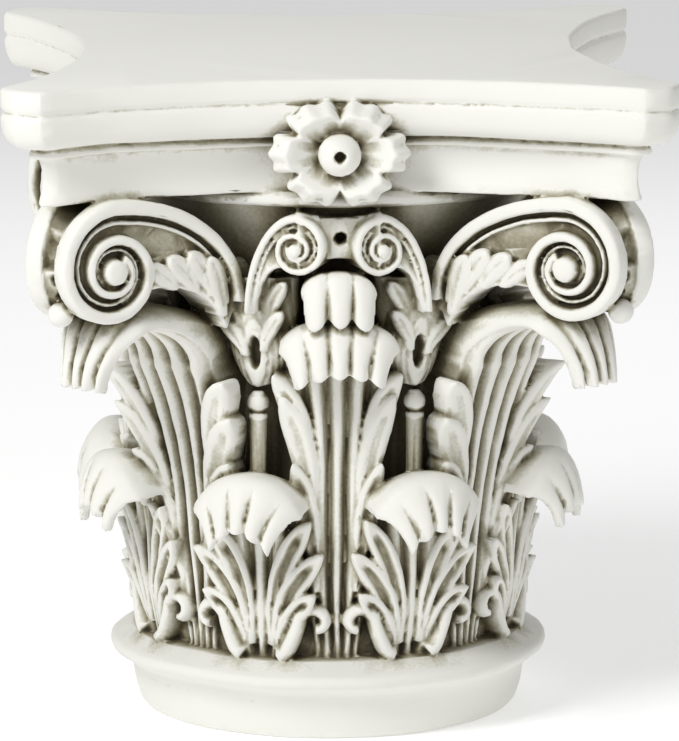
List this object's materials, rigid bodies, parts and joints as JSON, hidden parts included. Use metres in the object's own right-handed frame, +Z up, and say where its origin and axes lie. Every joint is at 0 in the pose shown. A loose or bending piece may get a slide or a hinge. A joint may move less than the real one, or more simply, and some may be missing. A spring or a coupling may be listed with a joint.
{
  "type": "corinthian capital",
  "caption": "Cast column capital with a hollow-sided slab, corner scrolls, acanthus leaves in tiers, side flowers and a round foot.",
  "frame": {"origin": "middle of the round underside, on the axis of the capital", "axes": "+Z up along the axis of the capital, +X to the right and -Y to the front, square to two sides of the slab"},
  "size_m": [0.44, 0.44, 0.45],
  "materials": {
    "cast_stone": "matt cream cast stone with an olive-brown wash rubbed into the hollows"
  },
  "bodies": {
    "root": {"capital": "cast_stone"}
  },
  "joints": []
}
